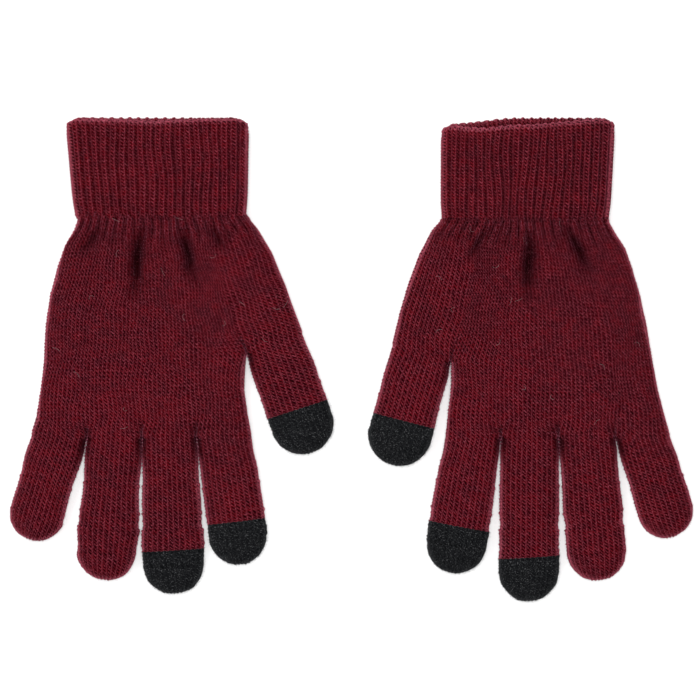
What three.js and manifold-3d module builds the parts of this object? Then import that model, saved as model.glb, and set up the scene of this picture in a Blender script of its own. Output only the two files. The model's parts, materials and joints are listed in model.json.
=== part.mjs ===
// A pair of knitted touchscreen gloves, lying flat with the fingers towards -Y and the thumbs facing each other.
// Millimetres, +Z up. The origin is on the table, under the middle of the pair.
// Each glove is a folded ribbed cuff with an elastic yarn inside it, a palm tube, five digit tubes, and three tips
// of conductive yarn, on the thumb, index and middle fingers.

import * as THREE from "three";
import Module from "manifold-3d";
import { mergeVertices } from "three/addons/utils/BufferGeometryUtils.js";

const wasm = await Module();
wasm.setup();

// ---- Driving dimensions ----

const FABRIC = 1.6; // thickness of the knitted fabric
const PALM_HEIGHT = 9; // outside height of the palm tube as it lies
const TIP_HEIGHT = 8.4; // outside height of a digit where its round end starts
const EDGE_RADIUS = 3.4; // rounding of a flattened tube's sides
const KNUCKLE_Y = -33.3; // the line where the four fingers leave the palm
const WRIST_Y = 60.4; // the line where the palm meets the cuff
const JOINT_GAP = 0.4; // clearance between pieces that meet face to face
const DIGIT_GAP = 0.6; // clearance between neighbouring fingers at the knuckle line

const CUFF_LENGTH = 41.5;
const CUFF_HEIGHT = 11.2;
const CUFF_LAYER = 1; // one layer of the folded cuff
const CUFF_POCKET = 0.9; // space between its two layers, where the elastic lies
const ELASTIC_DIAMETER = 0.5;
const ELASTIC_TURNS = 4;

const CORNER_STEPS = 2; // fineness of each rounded corner of a tube
const DOME_ANGLES = [25, 48, 67, 81]; // where a round fingertip is cut into rings, in degrees

// Each glove in its own frame: x towards its thumb, y towards the cuff, origin under the middle of the palm.
// thumbSide is the world direction of x. The edge lists are seen from above, from the wrist towards the fingers.
// knuckles are the places where the fingers part, from the little finger's outer edge to the index finger's.
// A digit's tip is the centre of its round end. capLength is the length of its conductive tip.
const GLOVES = [
  {
    name: "left",
    centreX: -88.2,
    thumbSide: 1,
    littleEdge: [[-29, 60.4], [-33, 48.5], [-37.8, 36], [-41.6, 18], [-42.8, 0], [-44.2, -16], [-48.3, -33.3]],
    thumbEdge: [[43.6, 60.4], [51, 51], [57, 38], [62, 25], [67.5, 10.5]],
    palmEdge: [[43.1, 60.4], [43.1, 30], [43.1, 1.9], [42.6, -15], [45.7, -33.3]],
    thumbRoot: [[43.1, 1.9], [67.5, 10.5]],
    knuckles: [-48.3, -24.3, -0.9, 22.2, 45.7],
    cuff: { wrist: [-29.5, 43.6], rim: [-33.3, 44.4] },
    digits: {
      little_finger: { tip: [-45.7, -66.4], radius: 11.5 },
      ring_finger: { tip: [-16, -82.2], radius: 12.4 },
      middle_finger: { tip: [12.4, -87.7], radius: 12.8, capLength: 17.9 },
      index_finger: { tip: [39.9, -75.4], radius: 12.4, capLength: 17.7 },
      thumb: { tip: [67, -27.5], radius: 13.2, capLength: 19.2 },
    },
  },
  {
    name: "right",
    centreX: 85.2,
    thumbSide: -1,
    littleEdge: [[-24.3, 60.4], [-30.5, 48.5], [-34.8, 36], [-39.6, 19], [-42.5, 0], [-46, -17], [-50.6, -33.3]],
    thumbEdge: [[47, 60.4], [53.5, 50], [59.3, 37], [63.8, 22], [68.1, 5.3]],
    palmEdge: [[42.5, 60.4], [42.5, 30], [42.5, -1.1], [43.2, -18], [45.3, -33.3]],
    thumbRoot: [[42.5, -1.1], [68.1, 5.3]],
    knuckles: [-50.6, -27.1, -3, 21.5, 45.3],
    cuff: { wrist: [-24.6, 47], rim: [-26.9, 46.8] },
    digits: {
      little_finger: { tip: [-48.5, -64.9], radius: 11.7 },
      ring_finger: { tip: [-19.2, -82.2], radius: 12.6 },
      middle_finger: { tip: [9.6, -90.7], radius: 12.8, capLength: 19.2 },
      index_finger: { tip: [40.4, -78.8], radius: 12.8, capLength: 19.7 },
      thumb: { tip: [64.3, -32.5], radius: 13.4, capLength: 20 },
    },
  },
];
const FINGERS = ["little_finger", "ring_finger", "middle_finger", "index_finger"];

// ---- Materials ----

const burgundy = new THREE.MeshStandardMaterial({ color: 0x6a1728, roughness: 0.95, metalness: 0 });
const burgundyRib = new THREE.MeshStandardMaterial({ color: 0x74192f, roughness: 0.95, metalness: 0 });
const conductiveBlack = new THREE.MeshStandardMaterial({ color: 0x17191c, roughness: 0.9, metalness: 0 });
const elasticWhite = new THREE.MeshStandardMaterial({ color: 0xd8d2c8, roughness: 0.8, metalness: 0 });

// ---- Lofting ----

// The section of a flattened tube: half its width, and the heights of its underside and top.
function tubeSection(halfWidth, low, high, radius) {
  const r = Math.max(0.2, Math.min(radius, halfWidth * 0.95, ((high - low) / 2) * 0.95));
  const shape = new THREE.Shape();
  shape.absarc(halfWidth - r, high - r, r, 0, Math.PI / 2);
  shape.absarc(r - halfWidth, high - r, r, Math.PI / 2, Math.PI);
  shape.absarc(r - halfWidth, low + r, r, Math.PI, 1.5 * Math.PI);
  shape.absarc(halfWidth - r, low + r, r, 1.5 * Math.PI, 2 * Math.PI);
  return shape.extractPoints(CORNER_STEPS).shape;
}

// A section stood up at a place: centre and side are seen from above, and side points to the section's +x.
function standSection(section, centre, side) {
  return section.map((p) => new THREE.Vector3(centre.x + side.x * p.x, centre.y + side.y * p.x, p.y));
}

// A closed surface through rings with equal numbers of points. The first and last ring are single points,
// or else the surface joins the last ring to the first.
function loft(rings) {
  const positions = [];
  const starts = [];
  for (const ring of rings) {
    starts.push(positions.length / 3);
    for (const point of ring) positions.push(point.x, point.y, point.z);
  }
  const size = Math.max(...rings.map((ring) => ring.length));
  const index = [];
  const joins = rings[0].length === 1 ? rings.length - 1 : rings.length;
  for (let k = 0; k < joins; k++) {
    const next = (k + 1) % rings.length;
    for (let i = 0; i < size; i++) {
      const j = (i + 1) % size;
      const [a, b, c, d] = [[k, i], [k, j], [next, j], [next, i]].map(
        ([ring, at]) => starts[ring] + (rings[ring].length === 1 ? 0 : at),
      );
      if (a !== b) index.push(a, b, c);
      if (c !== d) index.push(a, c, d);
    }
  }
  const geometry = new THREE.BufferGeometry();
  geometry.setAttribute("position", new THREE.Float32BufferAttribute(positions, 3));
  geometry.setIndex(signedVolume(positions, index) < 0 ? index.reverse() : index);
  geometry.computeVertexNormals();
  return geometry;
}

function signedVolume(positions, index) {
  const point = (i) => new THREE.Vector3().fromArray(positions, 3 * i);
  let volume = 0;
  for (let i = 0; i < index.length; i += 3) {
    volume += point(index[i]).dot(point(index[i + 1]).cross(point(index[i + 2]))) / 6;
  }
  return volume;
}

// A straight-sided loft closed by flat ends, for use as a cutting or joining body.
function cappedLoft(rings) {
  const middle = (ring) => [ring.reduce((sum, p) => sum.add(p), new THREE.Vector3()).divideScalar(ring.length)];
  return loft([middle(rings[0]), ...rings, middle(rings[rings.length - 1])]);
}

function toSolid(geometry) {
  const bare = geometry.clone();
  bare.deleteAttribute("normal");
  const merged = mergeVertices(bare, 1e-4);
  return new wasm.Manifold(
    new wasm.Mesh({
      numProp: 3,
      vertProperties: new Float32Array(merged.attributes.position.array),
      triVerts: new Uint32Array(merged.index.array),
    }),
  );
}

function fromSolid(solid) {
  const { vertProperties, triVerts } = solid.getMesh();
  const geometry = new THREE.BufferGeometry();
  geometry.setAttribute("position", new THREE.BufferAttribute(new Float32Array(vertProperties), 3));
  geometry.setIndex(new THREE.BufferAttribute(new Uint32Array(triVerts), 1));
  geometry.computeVertexNormals();
  return geometry;
}

// ---- Outline helpers ----

const vec = ([x, y]) => new THREE.Vector2(x, y);

// x of an outline edge at a height y, along a smooth curve through the edge's points.
function edgeAt(edge, y) {
  const points = new THREE.SplineCurve(edge.map(vec)).getPoints(12 * edge.length);
  if (y >= points[0].y) return points[0].x;
  for (let i = 1; i < points.length; i++) {
    if (points[i].y <= y) {
      const share = (points[i - 1].y - y) / (points[i - 1].y - points[i].y);
      return THREE.MathUtils.lerp(points[i - 1].x, points[i].x, share);
    }
  }
  return points[points.length - 1].x;
}

// ---- Digits ----

// Where a digit starts, which way it points, how long it is to its round end, and how wide it is there.
function digitLine(glove, name) {
  const { tip, radius, capLength } = glove.digits[name];
  let ends = glove.thumbRoot.map(vec);
  if (name !== "thumb") {
    const k = FINGERS.indexOf(name);
    ends = [vec([glove.knuckles[k], KNUCKLE_Y]), vec([glove.knuckles[k + 1], KNUCKLE_Y])];
  }
  const root = ends[0].clone().add(ends[1]).multiplyScalar(0.5);
  const rootSide = ends[1].clone().sub(ends[0]).normalize();
  const along = vec(tip).sub(root);
  const length = along.length();
  const direction = along.normalize();
  const rootHalf = ends[0].distanceTo(ends[1]) / 2 - DIGIT_GAP / 2;
  return { root, rootSide, direction, length, rootHalf, radius, capLength };
}

// The ring of a digit's tube at a distance from its root, on the outside or one fabric thickness in.
function digitRing(line, distance, inset) {
  const share = Math.min(1, distance / line.length);
  const past = Math.max(0, distance - line.length) / (line.radius - inset);
  const shrink = Math.sqrt(Math.max(0, 1 - past * past));
  const widen = 1 - (1 - share) ** 2;
  const halfWidth = THREE.MathUtils.lerp(line.rootHalf, line.radius, widen) - inset;
  const height = THREE.MathUtils.lerp(PALM_HEIGHT, TIP_HEIGHT, share);
  const halfHeight = (height / 2 - inset) * Math.sqrt(shrink);
  const centre = line.root.clone().addScaledVector(line.direction, distance);
  const across = new THREE.Vector2(-line.direction.y, line.direction.x);
  const turned = THREE.MathUtils.smoothstep(distance, 0, 0.45 * line.length);
  const side = line.rootSide.clone().lerp(across, turned).normalize();
  if (shrink < 1e-3) return [new THREE.Vector3(centre.x, centre.y, height / 2)];
  const low = height / 2 - halfHeight;
  const high = height / 2 + halfHeight;
  return standSection(tubeSection(halfWidth * shrink, low, high, EDGE_RADIUS - inset), centre, side);
}

// A digit's shell between two distances from its root, open at both ends or closed by its round end.
function digitShell(line, start, end) {
  const closed = end === undefined;
  const stops = [0, 0.12, 0.3, 0.6, 1].map((share) => share * line.length);
  const inside = stops.filter((stop) => stop > start + 1 && (closed || stop < end - 1));
  const outer = [start, ...inside];
  const inner = [start, ...inside];
  if (closed) {
    for (const angle of [...DOME_ANGLES, 90]) {
      const sine = Math.sin(THREE.MathUtils.degToRad(angle));
      outer.push(line.length + line.radius * sine);
      inner.push(line.length + (line.radius - FABRIC) * sine);
    }
  } else {
    outer.push(end);
    inner.push(end);
  }
  const outerRings = outer.map((distance) => digitRing(line, distance, 0));
  const innerRings = inner.map((distance) => digitRing(line, distance, FABRIC));
  return loft([...innerRings.reverse(), ...outerRings]);
}

// ---- Palm ----

// The palm tube's two overlapping lofts, the hand's own and the one that leads to the thumb, grown inwards by inset.
function palmLofts(glove, inset, overrun) {
  const low = inset;
  const high = PALM_HEIGHT - inset;
  const radius = EDGE_RADIUS - inset;
  const levels = [WRIST_Y, 54, 47, 38, 27, 14, 0, -14, -24, KNUCKLE_Y + JOINT_GAP];
  levels[0] += overrun;
  levels[levels.length - 1] -= overrun;
  const handRings = levels.map((y) => {
    const [left, right] = [edgeAt(glove.littleEdge, y) + inset, edgeAt(glove.palmEdge, y) - inset];
    const section = tubeSection((right - left) / 2, low, high, radius);
    return standSection(section, new THREE.Vector2((left + right) / 2, y), new THREE.Vector2(1, 0));
  });

  const [crotch, outer] = glove.thumbRoot.map(vec);
  const [innerStart, outerStart] = [vec([18, WRIST_Y]), vec(glove.thumbEdge[0])];
  const outerCurve = new THREE.SplineCurve(glove.thumbEdge.map(vec));
  const alongThumb = digitLine(glove, "thumb").direction;
  const thumbRings = [0, 0.18, 0.38, 0.6, 0.8, 1].map((share) => {
    const right = share === 0 ? outerStart : outerCurve.getPoint(share);
    const left = innerStart.clone().lerp(crotch, share);
    const side = right.clone().sub(left).normalize();
    const halfWidth = left.distanceTo(right) / 2 - inset;
    const centre = left.clone().add(right).multiplyScalar(0.5);
    if (share === 0) centre.y += overrun;
    if (share === 1) centre.addScaledVector(alongThumb, overrun - JOINT_GAP);
    return standSection(tubeSection(halfWidth, low, high, radius), centre, side);
  });
  return toSolid(cappedLoft(handRings)).add(toSolid(cappedLoft(thumbRings)));
}

function palmShell(glove) {
  return fromSolid(palmLofts(glove, 0, 0).subtract(palmLofts(glove, FABRIC, 3)));
}

// ---- Cuff ----

// The cuff's ring at a distance above the wrist line, one inset in from its outside.
function cuffRing(glove, distance, inset) {
  const { wrist, rim } = glove.cuff;
  const share = distance / CUFF_LENGTH;
  const left = THREE.MathUtils.lerp(wrist[0], rim[0], share) + inset;
  const right = THREE.MathUtils.lerp(wrist[1], rim[1], share) - inset;
  const section = tubeSection((right - left) / 2, inset, CUFF_HEIGHT - inset, CUFF_HEIGHT * 0.42 - inset);
  return standSection(section, new THREE.Vector2((left + right) / 2, WRIST_Y + distance), new THREE.Vector2(1, 0));
}

// One band of rib fabric, folded over at the rim so that it makes an outer and an inner layer.
function cuffShell(glove) {
  const both = 2 * CUFF_LAYER + CUFF_POCKET;
  const foldRadius = both / 2;
  const foldStart = CUFF_LENGTH - foldRadius;
  const profile = [
    [0, JOINT_GAP],
    [0, foldStart],
    [foldRadius * 0.35, CUFF_LENGTH - foldRadius * 0.3],
    [foldRadius, CUFF_LENGTH],
    [both - foldRadius * 0.35, CUFF_LENGTH - foldRadius * 0.3],
    [both, foldStart],
    [both, JOINT_GAP],
    [both - CUFF_LAYER, JOINT_GAP],
    [both - CUFF_LAYER, foldStart],
    [CUFF_LAYER, foldStart],
    [CUFF_LAYER, JOINT_GAP],
  ];
  return loft(profile.map(([inset, distance]) => cuffRing(glove, distance, inset)));
}

// One covered elastic yarn, laid round the cuff between its layers in a few turns near the wrist.
function elasticYarn(glove) {
  const inset = CUFF_LAYER + CUFF_POCKET / 2;
  const first = 4;
  const pitch = 8;
  const points = [];
  const perTurn = cuffRing(glove, 0, inset).length;
  for (let i = 0; i <= ELASTIC_TURNS * perTurn; i++) {
    const distance = first + (pitch * i) / perTurn;
    points.push(cuffRing(glove, distance, inset)[i % perTurn]);
  }
  return tubeAlong(points, ELASTIC_DIAMETER / 2);
}

// A six-sided tube through points, with mitred corners and flat ends.
function tubeAlong(points, radius) {
  const rings = points.map((point, i) => {
    const before = points[Math.max(0, i - 1)];
    const after = points[Math.min(points.length - 1, i + 1)];
    const tangent = after.clone().sub(before).normalize();
    const first = new THREE.Vector3(0, 1, 0).cross(tangent).normalize();
    const second = tangent.clone().cross(first);
    return [0, 60, 120, 180, 240, 300].map((degrees) => {
      const angle = THREE.MathUtils.degToRad(degrees);
      return point
        .clone()
        .addScaledVector(first, radius * Math.cos(angle))
        .addScaledVector(second, radius * Math.sin(angle));
    });
  });
  return loft([[points[0]], ...rings, [points[points.length - 1]]]);
}

// ---- Assembly ----

function addPiece(group, name, geometry, material) {
  const mesh = new THREE.Mesh(geometry, material);
  mesh.name = name;
  group.add(mesh);
}

function makeGlove(glove) {
  const group = new THREE.Group();
  group.position.x = glove.centreX;
  group.scale.x = glove.thumbSide;
  addPiece(group, `${glove.name}_cuff`, cuffShell(glove), burgundyRib);
  addPiece(group, `${glove.name}_cuff_elastic`, elasticYarn(glove), elasticWhite);
  addPiece(group, `${glove.name}_palm`, palmShell(glove), burgundy);
  for (const name of [...FINGERS, "thumb"]) {
    const line = digitLine(glove, name);
    const capStart = line.capLength && line.length + line.radius - line.capLength;
    addPiece(group, `${glove.name}_${name}`, digitShell(line, 0, capStart && capStart - JOINT_GAP), burgundy);
    if (capStart) {
      addPiece(group, `${glove.name}_${name}_touch_tip`, digitShell(line, capStart), conductiveBlack);
    }
  }
  return group;
}

const pair = new THREE.Group();
for (const glove of GLOVES) pair.add(makeGlove(glove));

export default pair;
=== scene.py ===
"""A pair of burgundy knitted touchscreen gloves with black conductive tips, lying on a pale table.

Every knitted piece is a grid whose columns follow the wales and whose rows follow the courses, so that each stitch
has its own relief. Shapes are in millimetres, in each glove's own frame: x to its thumb, y to its cuff, z up.
"""

import json
import math

import bpy
import numpy as np
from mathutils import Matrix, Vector


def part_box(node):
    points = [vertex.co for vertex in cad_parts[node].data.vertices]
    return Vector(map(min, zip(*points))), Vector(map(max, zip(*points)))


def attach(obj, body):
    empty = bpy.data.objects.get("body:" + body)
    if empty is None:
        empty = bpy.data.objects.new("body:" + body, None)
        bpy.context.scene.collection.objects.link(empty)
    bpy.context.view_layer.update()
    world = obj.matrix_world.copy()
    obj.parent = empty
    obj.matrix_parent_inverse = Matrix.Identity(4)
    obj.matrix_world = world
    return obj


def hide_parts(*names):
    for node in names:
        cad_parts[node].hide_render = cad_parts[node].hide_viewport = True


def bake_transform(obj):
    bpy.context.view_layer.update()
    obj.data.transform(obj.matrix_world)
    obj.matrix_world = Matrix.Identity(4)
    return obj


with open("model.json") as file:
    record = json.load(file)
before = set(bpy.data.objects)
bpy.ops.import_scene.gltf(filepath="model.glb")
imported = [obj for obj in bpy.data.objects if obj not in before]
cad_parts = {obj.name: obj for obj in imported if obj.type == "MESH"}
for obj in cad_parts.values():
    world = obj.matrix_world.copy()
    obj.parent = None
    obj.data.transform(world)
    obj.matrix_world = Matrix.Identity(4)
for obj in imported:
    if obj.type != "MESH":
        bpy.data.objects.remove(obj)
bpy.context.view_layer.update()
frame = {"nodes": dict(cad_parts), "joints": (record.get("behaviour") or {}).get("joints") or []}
JOINTS = {joint["name"]: joint for joint in frame["joints"]}
MM = 0.001

# ---- Camera: straight above the pair ----

VIEW_WIDTH = 0.2989  # metres of the table in view
CAMERA_PLACE = (-0.0006, 0.0032, 1.6)
SENSOR_WIDTH = 36


def put(name, data):
    """Adds an object to the scene."""
    thing = bpy.data.objects.new(name, data)
    bpy.context.scene.collection.objects.link(thing)
    return thing


def make_camera():
    data = bpy.data.cameras.new("camera")
    data.sensor_width = SENSOR_WIDTH
    data.lens = SENSOR_WIDTH * CAMERA_PLACE[2] / VIEW_WIDTH
    camera = put("camera", data)
    camera.location = CAMERA_PLACE
    bpy.context.scene.camera = camera


make_camera()

# ---- Knitting: the size of a stitch, and how finely it is cut ----

COURSE = 1.46  # height of one course of plain knitting
FINGER_WALES = 13  # wales across the front of a finger
CUFF_RIBS = 20  # ribs across the front of a cuff
WALES_PER_RIB = 2
ROWS_PER_COURSE = 3
BOTTOM_STEP = 2  # the underside keeps every second column
BOTTOM_STRENGTH = 0.8  # and its stitches are pressed flatter
FACE_STEPS = ((1, 1), (-1, BOTTOM_STEP))

# Across one wale, from its left to its right as seen from above: the places of the columns, the height of each,
# how far each hangs below the course line (in courses), and how strongly it swells with each strand.
COLUMN_PLACE = np.array([0.0, 0.32, 0.64, 0.82])
COLUMN_HEIGHT = np.array([-0.2, 0.12, -0.08, 0.12])
COLUMN_DROP = np.array([0.0, 0.45, 0.88, 0.36])
COLUMN_SWELL = np.array([0.1, 0.24, 0.16, 0.08])
COLUMNS_PER_WALE = len(COLUMN_PLACE)
COLUMNS_PER_STRIP = FINGER_WALES * COLUMNS_PER_WALE
RIB_OFFSET = 0.25  # so that the middle of each rib is between its two wales

# ---- Glove shape ----

FINGERS = ["little_finger", "ring_finger", "middle_finger", "index_finger"]
DIGITS = FINGERS + ["thumb"]
TIPPED = ["index_finger", "middle_finger", "thumb"]
# Which sides of a digit have another digit beside them: (little finger's side, thumb's side).
NEIGHBOURS = dict.fromkeys(DIGITS, (1, 1)) | {"little_finger": (0, 1), "index_finger": (1, 0), "thumb": (1, 0)}
# How much further the change of yarn is at the thumb's side of a digit than in its middle.
TIP_TILT = {
    "left": {"index_finger": 0.3, "middle_finger": -0.4, "thumb": 0.3},
    "right": {"index_finger": -0.5, "middle_finger": 1.0, "thumb": 0.0},
}
RIM_LIGHT_WIDTH = 1.7  # how far from a fold line the painted rim light still shows
EDGE_Z = 3.4  # height of the fold line round the outline of a glove
PALM_TOP = 8.5
DIGIT_TOP = 8.2
TABLE_Z = 0.45  # height of the underside's cloth before its stitches stand out
TOP_REACH = 13.0  # how far the palm's top takes to rise from the outline
UNDER_REACH = 4.0  # and how far its underside takes
LUMPS = 0.55  # height of the palm's random swells
PADDING = 0.9  # how much higher the middle of the palm stands
KNUCKLE_VALLEY = 0.16  # share of the height that is lost between two knuckles
DENT = 0.8  # depth of the dents just above the crotches
RIB_RUN = 0.95  # height of the ribs that run on from the cuff
LINK_DEPTH = 0.6  # depth of the line where the cuff is linked
LOWEST = 0.05  # nothing is nearer to the table than this
PUCKER_RADIUS = 3.2  # how far the fabric takes to rise from a crotch, where both faces meet
TUCK_ROWS = 3
TUCK_Z = 4.4
BEND_START = 0.9  # how far from a digit's root a span along it starts
BEND_LENGTH = 12.0  # how long that span is; its ends are worked out but no piece is bent

# Gathers below each cuff: share of the wrist's width from the little finger's side, nearest and farthest distance
# from the wrist, depth, half-width, and how far the crease drifts towards the thumb on its way.
GATHERS = {
    "left": [
        (0.372, 7, 37, 5.2, 2.5, -0.5),
        (0.605, 7, 31, 4.6, 2.2, 1.6),
        (0.14, 6, 18, 2.6, 2.2, -4.0),
        (0.77, 5, 17, 2.8, 1.6, 2.5),
        (0.5, 7, 16, 1.4, 1.3, 0.0),
        (0.26, 7, 15, 1.2, 1.3, -1.0),
    ],
    "right": [
        (0.475, 8, 37, 5.0, 2.3, 0.0),
        (0.25, 5, 26, 3.8, 2.2, -5.0),
        (0.72, 5, 19, 3.0, 1.7, 4.0),
        (0.31, 7, 15, 1.3, 1.3, -1.0),
        (0.6, 7, 16, 1.3, 1.3, 1.0),
    ],
}
# How far the front of each rim falls short of the back, from the little finger's side to the thumb's.
RIM_PEEK = {"left": [0.3, 0.8, 1.5, 0.5, 0.1], "right": [0.4, 1.8, 3.1, 3.4, 1.0]}
RIM_DIP = {"left": 0.2, "right": 2.2}  # how much lower the whole rim is at the thumb's side
LINK_DROP = {"left": 0.7, "right": 1.6}  # how far below the wrist's fold line the cuff is linked to the palm
WAIST_PINCH = {"left": (0.6, 0.3), "right": (0.7, 1.5)}  # how far the outline is drawn in there, on its two sides


def smoothstep(low, high, value):
    t = np.clip((value - low) / (high - low), 0, 1)
    return t * t * (3 - 2 * t)


def bell(distance, width):
    """1 at no distance, and next to nothing beyond two widths."""
    return np.exp(-((distance / width) ** 2))


def dome(t, power=2.2):
    """Height of a rounded edge, from 0 at its outline to 1 where it levels off."""
    return (1 - (1 - np.clip(t, 0, 1)) ** power) ** (1 / power)


def arc(x, y):
    """Distance along a line of points from its first point to each of them."""
    return np.concatenate([[0], np.cumsum(np.hypot(np.diff(x), np.diff(y)))])


def smooth_noise(seed, cells):
    """A gentle random function of x and y, with about one bump per cell of that many millimetres."""
    rng = np.random.default_rng(seed)
    waves = rng.normal(size=(9, 2)) * 2.2 / cells
    phases = rng.uniform(0, 2 * math.pi, 9)

    def value(x, y):
        return sum(np.sin(w[0] * x + w[1] * y + p) for w, p in zip(waves, phases)) / 3

    return value


class Glove:
    """The CAD outline of one glove, in its own frame."""

    def __init__(self, name, side):
        self.name = name
        self.side = side
        low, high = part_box(f"{name}_palm")
        self.centre = (low.x + high.x) / 2 / MM
        self.wrist_y = JOINTS[f"{name}_wrist_fold"]["pos_m"][1] / MM
        self.link_y = self.wrist_y - LINK_DROP[name]
        self.knuckle_y = JOINTS[f"{name}_ring_finger_bend"]["pos_m"][1] / MM
        ring = self.corners(f"{name}_cuff")
        wrist = ring[ring[:, 1] < self.wrist_y + 0.5]
        rim = ring[ring[:, 1] > ring[:, 1].max() - 2]
        self.wrist_x = (wrist[:, 0].min(), wrist[:, 0].max())
        self.rim_x = (rim[:, 0].min(), rim[:, 0].max())
        self.rim_y = ring[:, 1].max()
        self.cuff_top = ring[:, 2].max()
        self.crotch, self.thumb_outer = self.digit_root("thumb")

    def local(self, points):
        points = np.asarray(points, float) / MM
        points[..., 0] = (points[..., 0] - self.centre) * self.side
        return points

    def world(self, points):
        points = np.array(points, float)
        points[..., 0] = points[..., 0] * self.side + self.centre
        return points * MM

    def corners(self, node):
        return self.local([v.co[:] for v in frame["nodes"][node].data.vertices])

    def digit_root(self, name):
        """The two ends of the line where a digit leaves the palm, from its little-finger side to its thumb side."""
        joint = JOINTS[f"{self.name}_{name}_bend"]
        pivot = self.local([joint["pos_m"]])[0, :2]
        points = self.corners(f"{self.name}_{name}")[:, :2]
        axis = np.array(joint["axis"][:2]) * (self.side, 1)
        axis *= np.sign(axis[0])
        away = np.array((axis[1], -axis[0]))
        root = points[(points - pivot) @ away < 0.3]
        reach = (root - pivot) @ axis
        return pivot + axis * reach.min(), pivot + axis * reach.max()

    def palm_outline(self, levels):
        """Least x and greatest x of the palm at each of some values of y, cut from its triangles."""
        mesh = frame["nodes"][f"{self.name}_palm"].data
        mesh.calc_loop_triangles()
        triangles = self.corners(f"{self.name}_palm")[[t.vertices[:] for t in mesh.loop_triangles]]
        starts, ends = triangles.reshape(-1, 3), np.roll(triangles, -1, axis=1).reshape(-1, 3)
        spans = []
        for y in levels:
            cut = (starts[:, 1] - y) * (ends[:, 1] - y) < 0
            p, q = starts[cut], ends[cut]
            x = p[:, 0] + (q[:, 0] - p[:, 0]) * (y - p[:, 1]) / (q[:, 1] - p[:, 1])
            spans.append((x.min(), x.max()))
        return np.array(spans).T


# ---- Grids ----


def unit(vectors):
    return vectors / np.maximum(np.linalg.norm(vectors, axis=-1, keepdims=True), 1e-9)


def grid_normals(points):
    """Normals of a grid of the upper side, whose rows go away from the wrist, and its directions along a wale."""
    along = np.gradient(points, axis=0)
    normals = np.cross(along, np.gradient(points, axis=1))
    faint = np.linalg.norm(normals, axis=-1) < 1e-9
    normals = unit(normals)
    normals[faint] = (0, 0, 1)
    return normals, unit(along)


def wale_columns(wales, side):
    """Wale coordinate of each column across some wales, and its place in the stitch as seen in the world."""
    place = COLUMN_PLACE if side > 0 else np.sort((1 - COLUMN_PLACE) % 1)
    u = (np.arange(wales)[:, None] + place[None, :]).ravel()
    kind = np.tile(np.arange(COLUMNS_PER_WALE) if side > 0 else np.array([0, 3, 2, 1]), wales)
    return np.append(u, wales), np.append(kind, 0)


def unevenness(rng, rows, columns, step):
    """One random number for each stitch, the same over all its rows and columns."""
    values = rng.normal(size=(rows // ROWS_PER_COURSE + 2, columns * step // COLUMNS_PER_WALE + 2))
    down = (np.arange(rows) + 1) // ROWS_PER_COURSE
    across = np.arange(columns) * step // COLUMNS_PER_WALE
    return values[down][:, across]


def stitch_relief(grid, kind, courses, face, seed, step=1, hang=1.0):
    """Pushes the points of a plain grid into stitches, and leaves its columns of painted shade and painted rim light
    alone. face is -1 for the underside, whose normals point down. hang scales how far the columns hang, for each row."""
    rng = np.random.default_rng(seed + face)
    strength = 1.0 if face > 0 else BOTTOM_STRENGTH
    points = grid[..., :3]
    normals, along = grid_normals(points)
    phase = np.cos(2 * math.pi * courses)[:, None]
    uneven = unevenness(rng, len(courses), len(kind), step)
    height = COLUMN_HEIGHT[kind][None, :] + COLUMN_SWELL[kind][None, :] * phase * (1 + 0.3 * uneven)
    drop = COLUMN_DROP[kind][None, :] * COURSE * (1 + 0.1 * uneven)
    moved = points + face * normals * (height * strength)[..., None]
    moved += along * (drop * strength * np.reshape(hang, (-1, 1)))[..., None]
    return np.concatenate([moved, grid[..., 3:]], -1)


class Knit:
    """A mesh gathered from grids of shared points, with the stitch coordinates of every corner."""

    def __init__(self):
        self.points = []
        self.count = 0
        self.quads = []
        self.places = []

    def add(self, grid):
        """Adds a grid with columns x, y, z, painted shade and painted rim light, and returns the numbers of its
        points.
        """
        flat = grid.reshape(-1, 5)
        ids = np.arange(self.count, self.count + len(flat)).reshape(grid.shape[:-1])
        self.points.append(flat)
        self.count += len(flat)
        return ids

    def skin(self, ids, u, v, flip=False):
        """Adds the faces between the points of a grid, apart from those that have shrunk to a line."""

        def corners(grid):
            four = [grid[:-1, :-1], grid[1:, :-1], grid[1:, 1:], grid[:-1, 1:]]
            return four[::-1] if flip else four

        quads = np.stack(corners(ids), -1).reshape(-1, 4)
        uvs = np.stack(corners(np.stack(np.meshgrid(u, v), -1)), -2).reshape(-1, 4, 2)
        whole = (np.diff(np.sort(quads, axis=1), axis=1) > 0).all(axis=1)
        self.quads.append(quads[whole])
        self.places.append(uvs[whole])

    def build(self, name, glove, material):
        columns = np.concatenate(self.points)
        columns[:, 2] = np.maximum(columns[:, 2], LOWEST)
        points = glove.world(columns[:, :3])
        quads = np.concatenate(self.quads)
        uvs = np.concatenate(self.places)
        if glove.side < 0:
            quads = quads[:, ::-1]
            uvs = uvs[:, ::-1]
        mesh = bpy.data.meshes.new(name)
        mesh.vertices.add(len(points))
        mesh.vertices.foreach_set("co", points.astype(np.float32).ravel())
        mesh.loops.add(quads.size)
        mesh.loops.foreach_set("vertex_index", quads.astype(np.int32).ravel())
        mesh.polygons.add(len(quads))
        mesh.polygons.foreach_set("loop_start", np.arange(0, quads.size, 4, dtype=np.int32))
        layer = mesh.uv_layers.new(name="stitches")
        layer.data.foreach_set("uv", uvs.astype(np.float32).ravel())
        for key, column in (("fold", 3), ("halo", 4)):
            attribute = mesh.attributes.new(key, "FLOAT", "POINT")
            attribute.data.foreach_set("value", columns[:, column].astype(np.float32))
        mesh.update(calc_edges=True)
        mesh.validate()
        mesh.polygons.foreach_set("use_smooth", np.ones(len(mesh.polygons), bool))
        mesh.materials.append(material)
        return put(name, mesh)


SLOPE_SHARE = 0.55  # how much a slope counts when columns are spread over it: the knit is a little stretched there


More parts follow.
